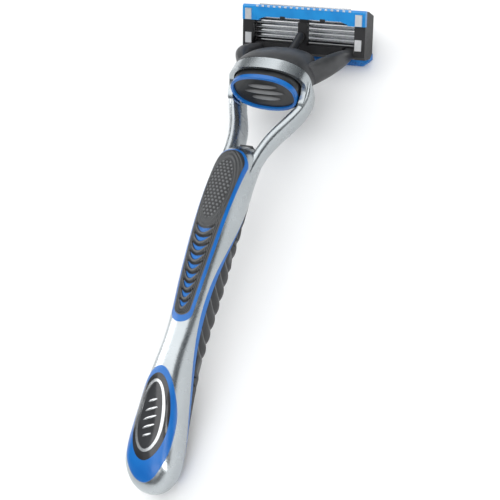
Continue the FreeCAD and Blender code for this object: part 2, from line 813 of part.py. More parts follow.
def cut_tools(label, base, tools):
    """The base less its tools, as a Part boolean that becomes the sub-part."""
    fused = doc.addObject("Part::MultiFuse", label + "_tools")
    fused.Shapes = tools
    result = doc.addObject("Part::Cut", label)
    result.Label = label
    result.Base = base
    result.Tool = fused
    result.Placement = cartridge_frame()
    parts.append(result)
    return result


def clip_slots(label):
    """Four slots that the retaining clips pass through."""
    tools = []
    for side in (-1, 1):
        low_side = f"{side}*clip_place - 0.5*clip_width - {SLOT_ROOM}"
        high_side = f"{side}*clip_place + 0.5*clip_width + {SLOT_ROOM}"
        for name, low, high in (("upper", "clip_high - clip_thickness - 0.05", "clip_high + 0.05"),
                                ("lower", "clip_low - 0.05", "clip_low + clip_thickness + 0.05")):
            tools.append(box_tool(f"{label}_{name}_slot", (low_side, low, "-9"), (high_side, high, "2")))
    return tools


def build_cartridge_frame():
    """The moulded housing: windows, centre rib, end walls, yoke notches and pin bores."""
    body = doc.addObject("PartDesign::Body", "frame_blank")
    low, high, depth = "cartridge_low", "cartridge_high", "cartridge_depth"
    cap_foot = f"{high} - cap_width"
    corners = [(low, "-back_chamfer"), (f"{low} + back_chamfer", "0"), (cap_foot, "0"),
               (cap_foot, "-cap_seat"), (high, "-cap_seat"), (high, "-2"),
               (f"{high} - 1.5", f"-{depth}"), (f"{low} + front_chamfer", f"-{depth}"),
               (low, f"-{depth} + foot_chamfer")]
    add_pad(body, "YZ_Plane", corners, "cartridge_width")
    for inner, outer in (("0.5*rib_width", "window_half"), ("-window_half", "-0.5*rib_width")):
        cut_pocket(body, "XY_Plane", rectangle(inner, outer, "window_low", "window_high"), "40")
    cut_pocket(body, "YZ_Plane", rectangle("window_low", "window_high", "-9", "-rib_depth"), "2*bay_half")
    for inner, outer in (("notch_inner", "notch_outer"), ("-notch_outer", "-notch_inner")):
        cut_pocket(body, "XY_Plane", rectangle(inner, outer, "cartridge_low - 1", "notch_high"),
                   "2*notch_depth")
    tools = clip_slots("frame")
    for start in ("notch_outer - 1", "-pin_reach - 0.1"):
        tools.append(cross_cylinder("pin_bore", "pin_radius + pin_clearance", start,
                                    "pin_reach + 0.1 - notch_outer + 1", "pivot_back", "pivot_depth"))
    cut_tools("cartridge_frame", body, tools)


def build_trimmer():
    """The blue cap along the back's upper edge and the trimmer blade under it."""
    body = doc.addObject("PartDesign::Body", "cap_blank")
    high = "cartridge_high"
    foot = f"{high} - cap_width"
    edge = f"{high} + cap_lip"
    corners = [(foot, "-cap_seat"), (edge, "-cap_seat"), (edge, "-0.3"),
               (f"{high} - 0.3", "cap_proud"), (foot, "cap_proud")]
    add_pad(body, "YZ_Plane", corners, "cartridge_width")
    below = f"{foot} - 0.7"
    shoulder = f"{foot} + 0.4"
    top = f"{foot} + recess_depth"
    recess = [("-recess_foot_half", below), ("recess_foot_half", below),
              ("recess_foot_half", shoulder), ("recess_top_half", top),
              ("-recess_top_half", top), ("-recess_foot_half", shoulder)]
    cut_pocket(body, "XY_Plane", recess, "4")
    cut_tools("trimmer_cap", body, clip_slots("cap"))
    blade = new_body("trimmer_blade", cartridge_frame())
    root = f"{high} + 0.02"
    tip = f"{high} + trimmer_reach"
    corners = [(root, "-1.1"), (tip, "-1.05"), (tip, "-0.98"), (root, "-0.92")]
    add_pad(blade, "YZ_Plane", corners, "trimmer_width")


def build_blades():
    """Five blades, each welded to its bent support."""
    foot = "support_top - support_height"
    for number in range(int(size("blade_count"))):
        place = f"blade_first + {number}*blade_pitch"
        rear = f"{place} - 0.5*support_thickness"
        face = f"{place} + 0.5*support_thickness"
        tab = f"{place} - tab_reach"
        support = new_body(f"blade_support_{number + 1}", cartridge_frame())
        corners = [(rear, "support_top"), (face, "support_top"), (face, foot),
                   (tab, f"{foot} - 0.43"), (tab, f"{foot} - 0.16"), (rear, f"{foot} + 0.17")]
        add_pad(support, "YZ_Plane", corners, "blade_length - 0.6")
        blade = new_body(f"blade_{number + 1}", cartridge_frame())
        corners = [(place, f"{foot} - 0.06"), (tab, f"{foot} - 0.44"),
                   (f"{place} - edge_reach", f"{foot} - 0.62"), (f"{place} - 0.9", f"{foot} - 0.57"),
                   (f"{place} + 0.04", f"{foot} - 0.19")]
        add_pad(blade, "YZ_Plane", corners, "blade_length")


def build_guard_and_strip():
    """The finned elastomer guard below the blades and the lubricating strip above them."""
    low = "cartridge_low"
    guard = new_body("guard", cartridge_frame())
    corners = [(low, "-3.6"), (low, "-cartridge_depth + foot_chamfer"),
               (f"{low} + front_chamfer", "-cartridge_depth"),
               (f"{low} + front_chamfer", "-guard_front + 0.4"), (f"{low} - 1.5", "-guard_front"),
               (f"{low} - guard_lip", "-guard_front + 0.85"), (f"{low} - 2.2", "-4.6"),
               (f"{low} - 0.9", "-3.6")]
    add_pad(guard, "YZ_Plane", corners, "cartridge_width")
    outer_line = f"{low} - guard_lip - 0.1"
    for side in (-1, 1):
        edge = f"{0.5 * side}*cartridge_width + {0.1 * side}"
        inner = f"{side}*guard_corner"
        corner = [(inner, outer_line), (edge, outer_line), (edge, f"{low} - 0.3")]
        cut_pocket(guard, "XY_Plane", corner, "40")
    strip = new_body("lubricating_strip", cartridge_frame())
    section = rectangle("strip_low", "strip_high", "-cartridge_depth - strip_proud", "-cartridge_depth")
    add_pad(strip, "YZ_Plane", section, "strip_width")


def build_clips():
    """Two bent metal clips that hold the blades in the frame."""
    high, low, thick = "clip_high", "clip_low", "clip_thickness"
    corners = [("1.9", "cap_proud + 0.03"), ("1.9", f"cap_proud + {thick} + 0.03"),
               (high, f"cap_proud + {thick} + 0.03"), (high, "-clip_front"), (low, "-clip_front"),
               (low, f"{thick} + 0.03"), (f"{low} + 3.2", f"{thick} + 0.03"),
               (f"{low} + 3.2", "0.03"), (f"{low} + {thick}", "0.03"),
               (f"{low} + {thick}", f"{thick} - clip_front"),
               (f"{high} - {thick}", f"{thick} - clip_front"), (f"{high} - {thick}", "cap_proud + 0.03")]
    for name, side in (("left", -1), ("right", 1)):
        shift = Placement(Vector(side * size("clip_place"), 0, 0), Rotation())
        clip = new_body(f"retaining_clip_{name}", cartridge_frame().multiply(shift))
        add_pad(clip, "YZ_Plane", corners, "clip_width")


# ---------------------------------------------------------------- making and writing

def check_document():
    """Stop on any failed object or bad shape."""
    for item in doc.Objects:
        if "Invalid" in item.State or "Error" in item.State:
            raise RuntimeError(f"failed object: {item.Label}")
    for part in parts:
        if part.Shape.isNull() or not part.Shape.isValid() or not part.Shape.Solids:
            raise RuntimeError(f"bad shape: {part.Label}")


def write_parts():
    """One STEP file for each sub-part."""
    os.makedirs("parts", exist_ok=True)
    for part in parts:
        part.Shape.exportStep(f"parts/{part.Label}.step")


fill_sheet()
build_handle()
build_dock()
build_button()
build_plunger()
build_spring()
build_yoke()
build_cartridge_frame()
build_trimmer()
build_blades()
build_guard_and_strip()
build_clips()
doc.recompute()
check_document()
write_parts()
print(len(parts), "parts written")
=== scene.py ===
import json
import math

import bmesh
import bpy
from mathutils import Matrix, Vector
from mathutils.bvhtree import BVHTree


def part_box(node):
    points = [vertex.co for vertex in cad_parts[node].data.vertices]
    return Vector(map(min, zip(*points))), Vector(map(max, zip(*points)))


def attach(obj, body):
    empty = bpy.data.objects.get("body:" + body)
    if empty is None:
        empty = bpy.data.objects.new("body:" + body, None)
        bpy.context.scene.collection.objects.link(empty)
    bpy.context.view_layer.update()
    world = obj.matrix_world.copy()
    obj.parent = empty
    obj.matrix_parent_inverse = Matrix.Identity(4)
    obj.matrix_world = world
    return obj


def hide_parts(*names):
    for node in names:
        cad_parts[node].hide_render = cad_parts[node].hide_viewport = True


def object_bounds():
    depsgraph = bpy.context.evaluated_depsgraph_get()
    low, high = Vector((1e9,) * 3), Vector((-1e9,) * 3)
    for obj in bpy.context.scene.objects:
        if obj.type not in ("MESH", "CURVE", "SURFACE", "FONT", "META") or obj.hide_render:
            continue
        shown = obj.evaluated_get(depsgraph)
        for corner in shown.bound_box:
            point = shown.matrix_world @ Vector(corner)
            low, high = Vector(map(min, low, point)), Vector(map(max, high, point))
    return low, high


# A cartridge razor lying on a pale table.  Places are read from the frame's own solids:
# detailed pieces are laid on a solid's face by casting rays at it.  Sizes of reliefs and
# small details are in millimetres, and places are in metres.

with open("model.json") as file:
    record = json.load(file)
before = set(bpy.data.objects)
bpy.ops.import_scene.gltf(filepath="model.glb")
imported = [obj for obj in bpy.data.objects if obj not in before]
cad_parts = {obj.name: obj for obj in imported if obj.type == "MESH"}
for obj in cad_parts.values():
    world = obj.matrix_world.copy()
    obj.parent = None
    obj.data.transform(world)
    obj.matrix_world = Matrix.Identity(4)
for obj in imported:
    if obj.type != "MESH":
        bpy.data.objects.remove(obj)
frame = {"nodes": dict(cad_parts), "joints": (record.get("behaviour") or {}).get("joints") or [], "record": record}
nodes = frame["nodes"]
CAD_LOW, CAD_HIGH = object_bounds()

MM = 0.001
ACROSS = Vector((1, 0, 0))
ALONG = Vector((0, 1, 0))
UP = Vector((0, 0, 1))


def joint_axis(name):
    """Direction of a named joint."""
    found = [joint for joint in frame["joints"] if joint["name"] == name]
    return Vector(found[0]["axis"]).normalized()


DOCK = joint_axis("eject_button_press")     # out of the handle, along the docking nose
BACK = joint_axis("blade_1_float")          # out of the cartridge's back
EDGE = BACK.cross(ACROSS)                   # across the blades, towards the blue cap


# ---------------------------------------------------------------- materials

COAT_ROUGHNESS = 0.12
BUMP_STRENGTH = 0.6


def ramp(tree, source, low, high, start=0.35, end=0.65):
    """A colour that runs from low to high with a value."""
    node = tree.nodes.new("ShaderNodeValToRGB")
    node.color_ramp.elements[0].position = start
    node.color_ramp.elements[1].position = end
    node.color_ramp.elements[0].color = (*low, 1)
    node.color_ramp.elements[1].color = (*high, 1)
    tree.links.new(source, node.inputs["Fac"])
    return node.outputs["Color"]


def mix(tree, factor, first, second):
    """A mix of two colours by a value."""
    node = tree.nodes.new("ShaderNodeMix")
    node.data_type = "RGBA"
    tree.links.new(factor, node.inputs["Factor"])
    for socket, colour in ((node.inputs[6], first), (node.inputs[7], second)):
        if isinstance(colour, tuple):
            socket.default_value = (*colour, 1)
        else:
            tree.links.new(colour, socket)
    return node.outputs[2]


def noise(tree, scale, stretch=(1, 1, 1), detail=4.0):
    """Noise in the piece's own coordinates; scale is in cycles per millimetre."""
    place = tree.nodes.new("ShaderNodeTexCoord")
    mapping = tree.nodes.new("ShaderNodeMapping")
    mapping.inputs["Scale"].default_value = [scale / MM * part for part in stretch]
    texture = tree.nodes.new("ShaderNodeTexNoise")
    texture.inputs["Scale"].default_value = 1.0
    texture.inputs["Detail"].default_value = detail
    tree.links.new(place.outputs["Object"], mapping.inputs["Vector"])
    tree.links.new(mapping.outputs["Vector"], texture.inputs["Vector"])
    return texture.outputs["Fac"]


def surface(name, dark, light, rough, metal=0.0, coat=0.0, grain=6.0, bump=0.02,
            mottle=0.25, stretch=(1, 1, 1)):
    """A finish with slow colour variation, uneven roughness and a fine grain."""
    material = bpy.data.materials.new(name)
    material.use_nodes = True
    tree = material.node_tree
    shader = tree.nodes["Principled BSDF"]
    shader.inputs["Metallic"].default_value = metal
    shader.inputs["Coat Weight"].default_value = coat
    shader.inputs["Coat Roughness"].default_value = COAT_ROUGHNESS
    tone = ramp(tree, noise(tree, mottle, stretch), dark, light)
    tree.links.new(tone, shader.inputs["Base Color"])
    spread = tree.nodes.new("ShaderNodeMapRange")
    spread.inputs["To Min"].default_value = rough * 0.8
    spread.inputs["To Max"].default_value = rough * 1.25
    tree.links.new(noise(tree, mottle * 4, stretch), spread.inputs["Value"])
    tree.links.new(spread.outputs["Result"], shader.inputs["Roughness"])
    relief = tree.nodes.new("ShaderNodeBump")
    relief.inputs["Strength"].default_value = BUMP_STRENGTH
    relief.inputs["Distance"].default_value = bump * MM
    tree.links.new(noise(tree, grain, stretch), relief.inputs["Height"])
    tree.links.new(relief.outputs["Normal"], shader.inputs["Normal"])
    return material


def toned(material, tints):
    """Lay tints over a finish where the piece's own tone attribute says: its red channel lays the blue floor
    colour, its green channel a grey painted highlight.
    """
    tree = material.node_tree
    shader = tree.nodes["Principled BSDF"]
    attribute = tree.nodes.new("ShaderNodeAttribute")
    attribute.attribute_name = "tone"
    split = tree.nodes.new("ShaderNodeSeparateColor")
    tree.links.new(attribute.outputs["Color"], split.inputs["Color"])
    colour = shader.inputs["Base Color"].links[0].from_socket
    for channel, tint in zip(("Red", "Green"), tints):
        colour = mix(tree, split.outputs[channel], colour, tint)
    tree.links.new(colour, shader.inputs["Base Color"])
    return material


BLUE = (0.001, 0.135, 0.46)
BRIGHT_BLUE = (0.003, 0.185, 0.50)

MATERIALS = {
    "chrome_casting": surface("satin chrome", (0.40, 0.43, 0.445), (0.48, 0.51, 0.525), 0.26,
                              metal=1.0, bump=0.001, grain=3.0, mottle=0.06),
    "blue_plastic": surface("blue plastic", (0.001, 0.105, 0.40), BLUE, 0.3, coat=0.2, mottle=0.1),
    "cap_blue": surface("bright blue plastic", BRIGHT_BLUE, (0.005, 0.235, 0.58), 0.3, coat=0.3),
    "grip_elastomer": surface("dark elastomer", (0.028, 0.029, 0.031), (0.045, 0.046, 0.048), 0.5,
                              bump=0.03, grain=9.0),
    "guard_elastomer": surface("blue elastomer", (0.001, 0.10, 0.37), (0.002, 0.16, 0.50), 0.45,
                               bump=0.03, grain=9.0),
    "black_gloss": surface("black gloss", (0.006, 0.006, 0.007), (0.03, 0.031, 0.034), 0.14,
                           coat=0.8, mottle=0.12, bump=0.004),
    "silver_trim": surface("silver trim", (0.62, 0.63, 0.64), (0.78, 0.79, 0.80), 0.24, metal=1.0),
    "dark_plastic": surface("dark satin plastic", (0.009, 0.0095, 0.0105), (0.018, 0.019, 0.021), 0.36),
    "yoke_plastic": surface("yoke plastic", (0.026, 0.027, 0.029), (0.042, 0.043, 0.046), 0.42,
                            grain=8.0, bump=0.02),
    "black_plastic": surface("black plastic", (0.004, 0.004, 0.005), (0.01, 0.01, 0.011), 0.45),
    "blade_steel": surface("ground steel", (0.55, 0.56, 0.57), (0.86, 0.87, 0.88), 0.22, metal=1.0,
                           stretch=(0.04, 1, 1), mottle=3.0, bump=0.006),
    "spring_steel": surface("drawn wire", (0.42, 0.43, 0.45), (0.6, 0.61, 0.63), 0.3, metal=1.0),
    "clip_metal": surface("clip metal", (0.84, 0.85, 0.86), (0.93, 0.93, 0.94), 0.36, metal=1.0,
                          bump=0.004, mottle=0.5),
    "lubricant": surface("waxy strip", (0.6, 0.72, 0.78), (0.72, 0.8, 0.84), 0.4, coat=0.3),
}


RUBBER_DARK = (0.014, 0.0145, 0.0155)
RUBBER_LIGHT = (0.026, 0.0265, 0.028)


def slot_of(node):
    """The record's material slot of a CAD node."""
    return next(part["material_slot"] for part in frame["record"]["subparts"] if part["node"] == node)


def dress_nodes():
    """Give every carried-over solid its finish."""
    for name, node in nodes.items():
        node.data.materials.clear()
        node.data.materials.append(MATERIALS[slot_of(name)])


def soften(name, width, segments=2):
    """Rounded edges on a moulded or bent solid."""
    edge = nodes[name].modifiers.new("soft edges", "BEVEL")
    edge.width = width * MM
    edge.segments = segments
    edge.limit_method = "ANGLE"
    edge.angle_limit = math.radians(35)


# ---------------------------------------------------------------- laying pieces on solids

NARROWEST = 0.15       # half width below which a row of a draped piece is left out
JUST_INSIDE = 0.999    # rays are cast this share of the way to a face's edge


def tree_of(name):
    """A node's faces, ready for rays."""
    mesh = nodes[name].data
    return BVHTree.FromPolygons([v.co.copy() for v in mesh.vertices],
                                [tuple(p.vertices) for p in mesh.polygons])


def reach(name, direction):
    """Lowest and highest place of a node along a direction."""
    places = [v.co.dot(direction) for v in nodes[name].data.vertices]
    return min(places), max(places)


def furthest(inside, limit, steps=22):
    """How far a test stays true, from zero out to a limit, by halving."""
    low, high = 0.0, limit
    for _ in range(steps):
        middle = (low + high) / 2
        if inside(middle):
            low = middle
        else:
            high = middle
    return low


def sheet_piece(name, rows, tones, skirt, material, body, replaced=()):
    """A closed piece: a grid laid through rows of points, side walls and a plain underside."""
    last_row = len(rows) - 1
    last_column = len(rows[0]) - 1
    bm = bmesh.new()
    layer = bm.loops.layers.float_color.new("tone")
    bmesh.ops.create_grid(bm, x_segments=last_column, y_segments=last_row, size=1.0)
    columns, values = {}, {}
    for vertex in bm.verts:
        column = round((vertex.co.x + 1) / 2 * last_column)
        row = round((vertex.co.y + 1) / 2 * last_row)
        vertex.co = rows[row][column]
        columns[vertex] = column
        values[vertex] = (*tones[row][column], 0.0, 1.0)
    top = set(bm.faces)
    rims = [edge for edge in bm.edges
            if {columns[vertex] for vertex in edge.verts} in ({0}, {last_column})]
    walls = bmesh.ops.extrude_edge_only(bm, edges=rims)["geom"]
    feet = {item for item in walls if isinstance(item, bmesh.types.BMVert)}
    bmesh.ops.translate(bm, vec=skirt, verts=list(feet))
    lower_rims = [edge for edge in bm.edges if feet.issuperset(edge.verts)]
    bmesh.ops.bridge_loops(bm, edges=lower_rims)
    bmesh.ops.holes_fill(bm, edges=[edge for edge in bm.edges if edge.is_boundary], sides=0)
    bmesh.ops.recalc_face_normals(bm, faces=bm.faces)
    for face in bm.faces:
        face.smooth = face in top
        for loop in face.loops:
            loop[layer] = values.get(loop.vert, (0, 0, 0, 1))
    return finish_piece(name, bm, material, body, replaced)


def finish_piece(name, bm, material, body, replaced=()):
    """Turn a bmesh into a piece that rides on its body."""
    mesh = bpy.data.meshes.new(name)
    bm.to_mesh(mesh)
    bm.free()
    piece = bpy.data.objects.new(name, mesh)
    bpy.context.scene.collection.objects.link(piece)
    mesh.materials.append(material)
    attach(piece, body)
    if replaced:
        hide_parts(*replaced)
    return piece


def drape(name, node, down, along, relief, counts, thickness, material, body, replaced=()):
    """Lay a close grid on a node's face, looking along down, and add its relief."""
    tree = tree_of(node)
    start, end = reach(node, along)
    near = reach(node, -down)[1] + 5 * MM
    side = reach(node, ACROSS)[1]

    def hit(across, place):
        origin = ACROSS * across + along * place - down * near
        return tree.ray_cast(origin, down)[0]

    rows, tones = [], []
    length = end - start
    for n in range(counts[0]):
        part = (1 - math.cos(math.pi * (n + 0.5) / counts[0])) / 2
        place = start + length * part
        half = furthest(lambda across: hit(across, place) is not None, side)
        if half < NARROWEST * MM:
            continue
        row, tone_row = [], []
        for m in range(counts[1] + 1):
            share = -1 + 2 * m / counts[1]
            point = hit(share * half * JUST_INSIDE, place)
            if point is None:
                break
            height, tone = relief(share * half / MM, (place - start) / MM, half / MM, length / MM)
            row.append(point - down * height * MM)
            tone_row.append(tone)
        if len(row) == counts[1] + 1:
            rows.append(row)
            tones.append(tone_row)
    return sheet_piece(name, rows, tones, down * thickness * MM, material, body,
                       replaced)


def hump(distance, half):
    """A round hump: one at its middle, zero at its edge."""
    return max(0.0, 1 - (distance / half) ** 2)


# ---------------------------------------------------------------- thumb grip

CRESCENTS = 9
CRESCENT_PITCH = 2.55
CRESCENT_FIRST = 3.0       # place of the lowest crescent, from the pad's tip
CRESCENT_BOW = 2.0         # how far its ends turn up
CRESCENT_INSET = 1.0       # how far it ends inside the pad's edge
CRESCENT_DEPTH = 0.5
CRESCENT_LIP = 0.16
TIP_ROUND = 2.5
FINE_GROOVES = (0.45, 0.85, 1.25)   # distances in from the pad's edge
GROOVE_HALF = 0.16
GROOVE_DEPTH = 0.16
SIDE_GROOVES_END = 16      # they stop this far below the pad's top
OVAL_FROM_TOP = 12.6
OVAL_HALF_LENGTH = 9.2
OVAL_HALF_WIDTH = 3.7
OVAL_SINK = 0.3
BUMP_PITCH = 1.15
BUMP_ROWS = 0.866          # rows of bumps are this share of the pitch apart
BUMP_RADIUS = 0.44
BUMP_HEIGHT = 0.26
RING_END = 26              # rings round the oval stop this far below the pad's top
RING_PITCH = 0.17          # as a share of the oval's size
RING_HEIGHT = 0.11


def from_edge(across, place, half):
    """Distance in from the pad's outline, which ends in a half circle at the tip."""
    if place < TIP_ROUND:
        return TIP_ROUND - math.hypot(across, TIP_ROUND - place)
    return half - abs(across)


def bump_field(across, place):
    """Height, from zero to one, of a field of round bumps in staggered rows."""
    row = round(place / (BUMP_PITCH * BUMP_ROWS))
    shift = 0.5 * (row % 2)
    column = round(across / BUMP_PITCH - shift)
    sideways = across - (column + shift) * BUMP_PITCH
    return hump(math.hypot(sideways, place - row * BUMP_PITCH * BUMP_ROWS), BUMP_RADIUS)


def crescent_relief(across, place, half):
    """Crescent hollows with a blue floor and a raised lip below: a height, then the blue floor's share and a
    painted highlight on the lip.
    """
    height = blue = painted_highlight = 0.0
    share = across / max(half - CRESCENT_INSET, 1.2)
    if abs(share) >= 1:
        return height, blue, painted_highlight
    thick = 0.3 + 0.5 * hump(share, 1.0)
    floor = 0.62 * hump(share, 0.85)
    for number in range(CRESCENTS):
        line = CRESCENT_FIRST + number * CRESCENT_PITCH + CRESCENT_BOW * share * share
        height -= CRESCENT_DEPTH * hump(place - line, thick) ** 0.5
        # the blue floor is set towards the lower side of each hollow, so the dark rubber left along its upper edge
        # is painted shade
        if floor > 0.05:
            blue = max(blue, min(1.0, 3.0 * hump(place - line + 0.16, floor)))
        lip = hump(place - line + thick + 0.4, 0.42)
        height += CRESCENT_LIP * lip
        # a painted highlight on each lip
        painted_highlight = max(painted_highlight, 0.3 * lip)
    return height, blue, painted_highlight


def thumb_relief(across, place, half, length):
    """Bumps in an oval, grooves round it and down the sides, and crescents below: a height, then the blue floor's
    share and a painted highlight on the raised relief.
    """
    blue = painted_highlight = 0.0
    height = -0.12 * (1 - hump(across, half * 1.02)) ** 6
    oval_middle = length - OVAL_FROM_TOP
    from_oval = math.hypot(across / min(OVAL_HALF_WIDTH, half * 0.8),
                           (place - oval_middle) / OVAL_HALF_LENGTH)
    if from_oval < 0.96:
        bump = bump_field(across, place)
        # the bump tops get a painted highlight
        return height + BUMP_HEIGHT * bump - OVAL_SINK, (0.0, bump * 0.5)
    if place > length - RING_END and from_oval < 1.5:
        height += RING_HEIGHT * math.cos((from_oval - 0.96) * 2 * math.pi / RING_PITCH) - 0.08
        # a faint painted highlight over the rings
        painted_highlight = 0.12
    if place < length - SIDE_GROOVES_END:
        edge = from_edge(across, place, half)
        groove = max(hump(edge - depth, GROOVE_HALF) for depth in FINE_GROOVES)
        height -= GROOVE_DEPTH * groove
        # painted highlight on the ridges near the pad's edge, none in the grooves
        painted_highlight = max(painted_highlight, 0.2 * (1 - groove) if edge < 1.5 else 0.0)
        if from_oval > 1.12 and edge > 0.5:
            drop, blue, lip = crescent_relief(across, place, half)
            height += drop
            # the lips' painted highlight
            painted_highlight = max(painted_highlight, lip)
    return height, (blue, painted_highlight)


def thumb_pad():
    """The soft pad under the thumb."""
    rubber = surface("pad elastomer", RUBBER_DARK, RUBBER_LIGHT, 0.5, bump=0.02, grain=9.0)
    # the grey tint is the painted highlight on the pad's raised relief
    return drape("thumb_pad", "thumb_grip", -UP, ALONG, thumb_relief, (430, 100), 0.8,
                 toned(rubber, (BLUE, (0.30, 0.31, 0.32))), "handle", ("thumb_grip",))


# ---------------------------------------------------------------- rear grip

SCALLOP_PITCH = 4.0
SCALLOP_START = 24.0       # places from the grip's lower end where the scallops fade in and out
SCALLOP_END = 74.0
SCALLOP_FADE = 5.0
SCALLOP_DEPTH = 0.55
SCALLOP_BOW = 3.6          # how far a scallop's ends sweep along the grip
SLEEVE_ROWS = 420
SLEEVE_COLUMNS = 72
SLEEVE_HEART = 7 * MM      # the sleeve's rays aim at a line this far above its underside
SLEEVE_EDGE_DROP = 0.2
WIDEST_WRAP = math.radians(125)
NARROWEST_WRAP = math.radians(3)


def scallops(along, share):
    """A ridge's height, from zero to one, a painted highlight along its upper arc, and how strong both are."""
    saw = (along - SCALLOP_BOW * abs(share) ** 3) / SCALLOP_PITCH
    saw -= math.floor(saw)
    fade = min(1.0, max(0.0, (along - SCALLOP_START) / SCALLOP_FADE))
    fade *= min(1.0, max(0.0, (SCALLOP_END - along) / SCALLOP_FADE))
    return hump(saw - 0.5, 0.5), hump(saw - 0.78, 0.1), fade


def rear_sleeve():
    """The rear grip: a wrapped strip with a row of curved ridges at mid-handle."""
    tree = tree_of("rear_grip")
    start, end = reach("rear_grip", ALONG)
    rows, tones = [], []
    for n in range(SLEEVE_ROWS):
        place = start + (end - start) * (n + 0.5) / SLEEVE_ROWS
        under = tree.ray_cast(ALONG * place - UP * 0.02, UP)[0]
        if under is None:
            continue
        heart = under + UP * SLEEVE_HEART

        def cast(angle):
            out = ACROSS * math.sin(angle) - UP * math.cos(angle)
            point, normal = tree.ray_cast(heart + out * 30 * MM, -out)[:2]
            if point is None or normal.dot(out) < 0.3:
                return None, out
            return point, out

        widest = furthest(lambda angle: cast(angle)[0] is not None, WIDEST_WRAP) * 0.995
        if widest < NARROWEST_WRAP:
            continue
        row, tone_row = [], []
        for m in range(SLEEVE_COLUMNS + 1):
            share = -1 + 2 * m / SLEEVE_COLUMNS
            point, out = cast(share * widest)
            if point is None:
                break
            ridge, arc_highlight, fade = scallops((place - start) / MM, share)
            edge = (1 - hump(share, 1.001)) ** 8
            drop = SCALLOP_DEPTH * fade * (1 - ridge) + SLEEVE_EDGE_DROP * edge
            row.append(point - out * drop * MM)
            # the painted highlight along each ridge's upper arc
            tone_row.append((0.0, 0.5 * fade * arc_highlight))
        if len(row) == SLEEVE_COLUMNS + 1:
            rows.append(row)
            tones.append(tone_row)
    rubber = surface("sleeve elastomer", RUBBER_DARK, RUBBER_LIGHT, 0.5, bump=0.03, grain=8.0)
    # the grey tint lays the painted highlight on the ridges' upper arcs
    return sheet_piece("rear_sleeve", rows, tones, UP * 0.3 * MM,
                       toned(rubber, (BLUE, (0.25, 0.26, 0.27))), "handle",
                       ("rear_grip",))


# ---------------------------------------------------------------- badge motif

BARS = 5
BAR_STEPS = 14
BAR_SIDES = 8
BAR_MIDDLE = 0.47          # the middle bar's place, as a share of the badge ring's length
BAR_PITCH = 0.118          # and the distance between bars
BAR_HALF_LENGTH = 1.9
BAR_SHORTENING = 0.16
BAR_SLANT = 0.5
BAR_HALF_WIDTH = 0.42
BAR_FLATNESS = 0.8
BARS_APART = 4.0           # between the straight bars, before they are laid on the badge


def straight_bars():
    """Round bars of unit radius, each from -1 to 1 along Z in short steps, side by side."""
    bm = bmesh.new()
    for number in range(BARS):
        bmesh.ops.create_cone(bm, cap_ends=True, segments=BAR_SIDES, radius1=1, radius2=1, depth=2,
                              matrix=Matrix.Translation((BARS_APART * number, 0, 0)))
    sides = [edge for edge in bm.edges if edge.verts[0].co.z * edge.verts[1].co.z < 0]
    bmesh.ops.subdivide_edges(bm, edges=sides, cuts=BAR_STEPS - 1)
    return bm


def badge_motif():
    """Plain slanted bars along the badge, longest at its middle: a pattern with no letters."""
    tree = tree_of("badge_inlay")
    low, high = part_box("badge_ring")
    bm = straight_bars()
    for vertex in bm.verts:
        number = round(vertex.co.x / BARS_APART)
        offset = number - (BARS - 1) / 2
        centre = low.y + (high.y - low.y) * (BAR_MIDDLE + BAR_PITCH * offset)
        share = vertex.co.z * BAR_STEPS / (BAR_STEPS + 0.5)
        thick = BAR_HALF_WIDTH * MM * math.sqrt(1 - share * share)
        across = share * (BAR_HALF_LENGTH - BAR_SHORTENING * offset * offset) * MM
        above = Vector((across, centre + BAR_SLANT * across, 0.05))
        ground = tree.ray_cast(above, -UP)[0]
        sideways = vertex.co.x - BARS_APART * number
        vertex.co = ground + thick * (ALONG * sideways + UP * BAR_FLATNESS * vertex.co.y)
    bmesh.ops.recalc_face_normals(bm, faces=bm.faces)
    for face in bm.faces:
        face.smooth = True
    return finish_piece("badge_bars", bm, MATERIALS["silver_trim"], "handle")


# ---------------------------------------------------------------- eject button

BUTTON_LENSES = ((2.2, 4.6), (0.0, 6.3), (-2.2, 4.6))   # height on the face, half length
LENS_HALF_WIDTH = 0.72
LENS_RISE = 0.8
DISH_HALF_WIDTH = 9.6
DISH_DEPTH = 0.25
FACE_SINK = 1.1            # the face lies this far inside the rim
OVAL_POWER = 2.3           # exponent of the button's oval
FACE_ROWS = 130
FACE_COLUMNS = 150


def button_relief(across, rise, half_height):
    """Three raised lenses on a shallow dish: a height and its two tones, no blue and a painted highlight on the
    lenses.
    """
    dish = hump(math.hypot(across / DISH_HALF_WIDTH, rise / half_height), 1.0)
    height = -DISH_DEPTH * dish
    painted_highlight = 0.0
    for lens_rise, half_length in BUTTON_LENSES:
        lens = hump(math.hypot(across / half_length, (rise - lens_rise) / LENS_HALF_WIDTH), 1.0)
        height += LENS_RISE * math.sqrt(lens)
        # a painted highlight on each lens
        painted_highlight = max(painted_highlight, 0.8 * math.sqrt(lens))
    return height, (0.0, painted_highlight)


